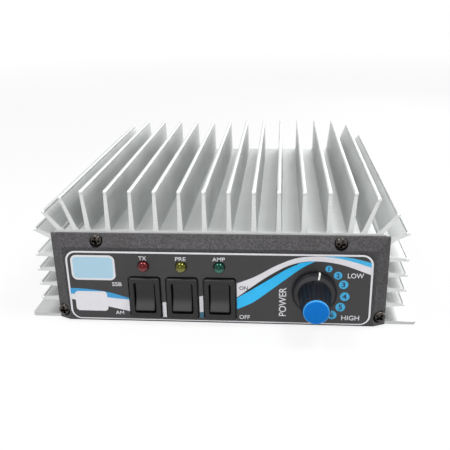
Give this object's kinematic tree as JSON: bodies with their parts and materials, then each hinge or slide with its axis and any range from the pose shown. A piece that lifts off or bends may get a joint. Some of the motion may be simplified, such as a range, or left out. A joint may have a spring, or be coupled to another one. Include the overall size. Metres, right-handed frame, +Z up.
{
  "type": "hf linear amplifier",
  "caption": "Finned aluminium mobile radio amplifier with bevelled end covers, rocker switches, indicator lamps, a stepped power knob and rear coaxial sockets.",
  "frame": {"origin": "centre of the base plate's underside", "axes": "+Y from the control front to the sockets at the rear, +X to the right as seen from the front, +Z up through the fins"},
  "size_m": [0.17, 0.1828, 0.06],
  "materials": {
    "heatsink": "matte extruded aluminium",
    "sheet": "brushed sheet aluminium",
    "zinc_screw": "zinc plated steel",
    "cover_black": "fine-grained black moulding",
    "label": "printed plastic sheet",
    "bronze_screw": "dark bronze-black plated steel",
    "switch_black": "matt black nylon",
    "rocker_black": "satin black nylon",
    "tinned": "tin-plated brass",
    "red_lens": "translucent red epoxy, unlit",
    "yellow_lens": "translucent yellow epoxy, unlit",
    "green_lens": "translucent green epoxy, unlit",
    "phenolic": "dark blue thermoset",
    "nickel": "nickel-plated brass",
    "shaft_steel": "turned steel",
    "knob_black": "satin blue-black plastic",
    "raw_brass": "turned brass",
    "cap_blue": "satin blue plastic",
    "white_ink": "white inlay",
    "board_green": "green solder mask on glass epoxy",
    "gold": "gold-plated copper",
    "white_ceramic": "glazed alumina",
    "ferrite": "dark grey ferrite",
    "copper_clad": "copper-clad board",
    "relay_blue": "blue plastic case",
    "sleeve_blue": "dark blue sleeve",
    "core_yellow": "yellow coated iron powder",
    "enamel_copper": "enamelled copper wire",
    "resistor_blue": "blue-grey lacquer",
    "holder_black": "black nylon",
    "fuse_amber": "translucent amber plastic",
    "trimmer_blue": "blue plastic",
    "socket_nickel": "bright nickel plating",
    "ptfe": "white fluoropolymer",
    "socket_steel": "bright nickel plated steel",
    "rubber_black": "black rubber"
  },
  "bodies": {
    "casing": {"heatsink": "heatsink", "base_plate": "sheet", "base_plate_screws": "zinc_screw", "front_cover": "cover_black", "rear_cover": "cover_black", "front_label": "label", "front_cover_screws": "bronze_screw", "rear_cover_screws": "bronze_screw", "mode_switch_body": "switch_black", "preamp_switch_body": "switch_black", "power_switch_body": "switch_black", "switch_terminals": "tinned", "tx_lamp": "red_lens", "preamp_lamp": "yellow_lens", "power_lamp": "green_lens", "lamp_leads": "tinned", "selector_housing": "phenolic", "selector_bushing": "nickel", "selector_nut": "nickel", "selector_terminals": "tinned", "circuit_board": "board_green", "board_spacers": "nickel", "board_screws": "zinc_screw", "transistor_flanges": "gold", "transistor_caps": "white_ceramic", "transistor_leads": "gold", "transistor_screws": "zinc_screw", "output_transformer_cores": "ferrite", "input_transformer_core": "ferrite", "output_transformer_tubes": "raw_brass", "output_transformer_plates": "copper_clad", "antenna_relay": "relay_blue", "radio_relay": "relay_blue", "supply_capacitors": "sleeve_blue", "choke_core": "core_yellow", "choke_winding": "enamel_copper", "attenuator_resistors": "resistor_blue", "fuse_holders": "holder_black", "blade_fuses": "fuse_amber", "bias_trimmers": "trimmer_blue", "antenna_socket_shell": "socket_nickel", "radio_socket_shell": "socket_nickel", "antenna_socket_insulator": "ptfe", "radio_socket_insulator": "ptfe", "antenna_socket_contact": "gold", "radio_socket_contact": "gold", "socket_screws": "socket_steel", "socket_nuts": "socket_steel", "cable_grommet": "rubber_black"},
    "selector_spindle": {"selector_shaft": "shaft_steel", "power_knob": "knob_black", "knob_collet": "raw_brass", "knob_cap": "cap_blue", "knob_pointer": "white_ink"},
    "mode_rocker": {"mode_rocker": "rocker_black"},
    "preamp_rocker": {"preamp_rocker": "rocker_black"},
    "power_rocker": {"power_rocker": "rocker_black"}
  },
  "joints": [
    {"name": "knob_turn", "type": "hinge", "parent": "casing", "child": "selector_spindle", "pos_m": [0.041, -0.07525, 0.017], "axis": [0, 1, 0], "range_deg": [0, 150]},
    {"name": "mode_switch_rock", "type": "hinge", "parent": "casing", "child": "mode_rocker", "pos_m": [-0.0315, -0.07225, 0.0128], "axis": [1, 0, 0], "range_deg": [0, 20]},
    {"name": "preamp_switch_rock", "type": "hinge", "parent": "casing", "child": "preamp_rocker", "pos_m": [-0.01525, -0.07225, 0.0128], "axis": [1, 0, 0], "range_deg": [0, 20]},
    {"name": "power_switch_rock", "type": "hinge", "parent": "casing", "child": "power_rocker", "pos_m": [0.001, -0.07225, 0.0128], "axis": [1, 0, 0], "range_deg": [0, 20]}
  ]
}
